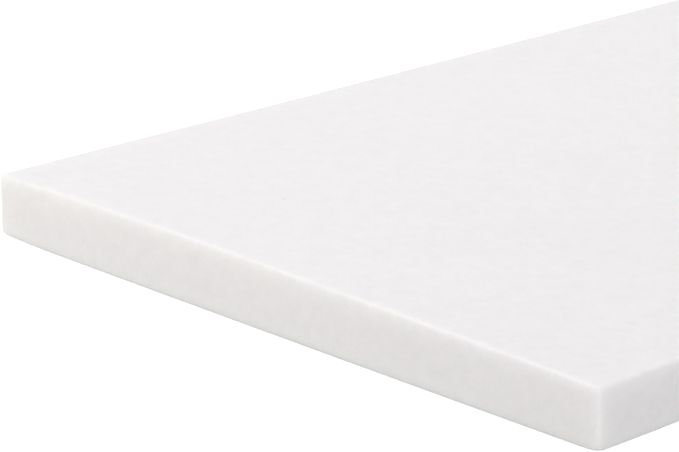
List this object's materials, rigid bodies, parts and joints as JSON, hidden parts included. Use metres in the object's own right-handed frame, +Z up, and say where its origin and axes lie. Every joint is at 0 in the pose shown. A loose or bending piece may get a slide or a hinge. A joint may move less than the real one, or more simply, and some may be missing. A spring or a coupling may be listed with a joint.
{
  "type": "rubber carving block",
  "caption": "Flat rectangular slab of soft white rubber with gently rounded edges, cut with gouges to make stamps and relief prints.",
  "frame": {"origin": "centre of the underside, on the surface that the block rests on", "axes": "+X along the long sides, +Y along the short sides, +Z up out of the carving face"},
  "size_m": [0.15, 0.1, 0.008],
  "materials": {
    "rubber": "matte white soft rubber"
  },
  "bodies": {
    "root": {"carving_block": "rubber"}
  },
  "joints": []
}
